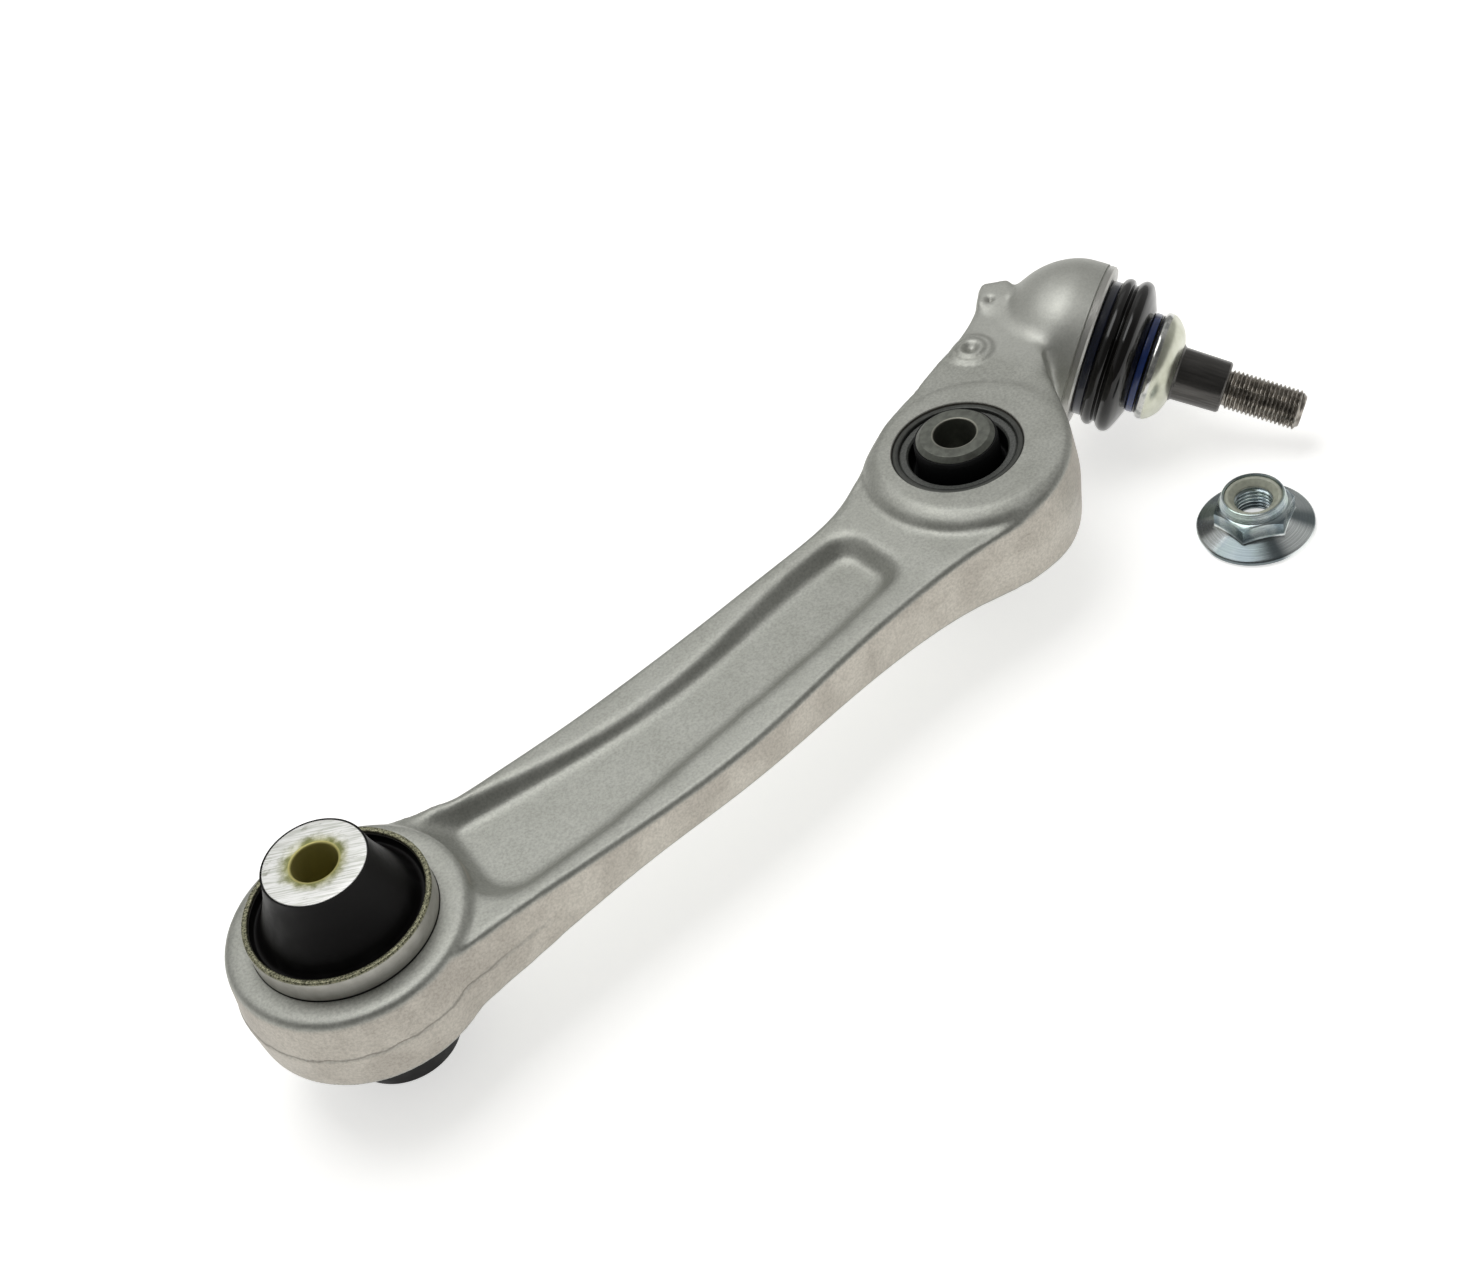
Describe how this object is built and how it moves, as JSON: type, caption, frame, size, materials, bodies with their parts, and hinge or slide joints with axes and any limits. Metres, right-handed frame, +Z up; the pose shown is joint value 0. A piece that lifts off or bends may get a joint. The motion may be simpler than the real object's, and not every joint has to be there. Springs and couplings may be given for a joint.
{
  "type": "suspension control arm",
  "caption": "Forged aluminium lower control arm with two rubber bushes, an angled ball joint with dust boot and threaded stud, and its loose flange nut.",
  "frame": {"origin": "centre of the chassis bush on the forging's parting plane", "axes": "+X towards the strut bush, +Z up along both bush axes; the ball joint's stud points to +X, -Y and down"},
  "size_m": [0.4134, 0.1351, 0.086],
  "materials": {
    "forged_aluminium": "blasted forging, satin",
    "can_steel": "bare pressed steel, satin",
    "coated_can": "steel under a thin rubber skin",
    "sleeve_aluminium": "milled ends",
    "bush_rubber": "moulded satin",
    "phosphated_steel": "oiled phosphate",
    "seat_polymer": "moulded",
    "boot_rubber": "moulded gloss",
    "blue_ring": "coated spring steel",
    "zinc_steel": "zinc plated, bluish",
    "nut_nylon": "moulded"
  },
  "bodies": {
    "arm": {"arm_forging": "forged_aluminium", "chassis_bush_outer_sleeve": "can_steel", "chassis_bush_rubber": "bush_rubber", "strut_bush_outer_sleeve": "coated_can", "strut_bush_rubber": "bush_rubber", "ball_seat": "seat_polymer", "ball_retaining_ring": "can_steel", "boot_clamp_ring_large": "blue_ring"},
    "chassis_sleeve": {"chassis_bush_inner_sleeve": "sleeve_aluminium"},
    "strut_sleeve": {"strut_bush_inner_sleeve": "phosphated_steel"},
    "boot": {"dust_boot": "boot_rubber"},
    "boot_ring": {"boot_clamp_ring_small": "blue_ring"},
    "stud": {"ball_stud": "phosphated_steel", "stud_guard_cup": "zinc_steel"},
    "nut": {"flange_nut": "zinc_steel", "nut_locking_insert": "nut_nylon"}
  },
  "joints": [
    {"name": "chassis_bush_twist", "type": "hinge", "parent": "arm", "child": "chassis_sleeve", "pos_m": [0, 0, 0], "axis": [0, 0, 1], "range_deg": [-15, 15], "stiffness_Nm_per_rad": 115},
    {"name": "strut_bush_twist", "type": "hinge", "parent": "arm", "child": "strut_sleeve", "pos_m": [0.254, 0, 0], "axis": [0, 0, 1], "range_deg": [-12, 12], "stiffness_Nm_per_rad": 90},
    {"name": "ball_swing", "type": "hinge", "parent": "arm", "child": "boot", "pos_m": [0.3279, 0.0295, -0.0012], "axis": [0.4512, -0.8414, -0.2974], "continuous": true},
    {"name": "ball_tilt", "type": "hinge", "parent": "boot", "child": "boot_ring", "pos_m": [0.3279, 0.0295, -0.0012], "axis": [0.1405, -0.2621, 0.9548], "range_deg": [-15, 15], "deforming": ["dust_boot"]},
    {"name": "stud_spin", "type": "hinge", "parent": "boot_ring", "child": "stud", "pos_m": [0.3279, 0.0295, -0.0012], "axis": [0.4512, -0.8414, -0.2974], "continuous": true},
    {"name": "nut_turn", "type": "hinge", "parent": "arm", "child": "nut", "pos_m": [0.3273, -0.0595, -0.043], "axis": [0, 0, 1], "continuous": true}
  ]
}
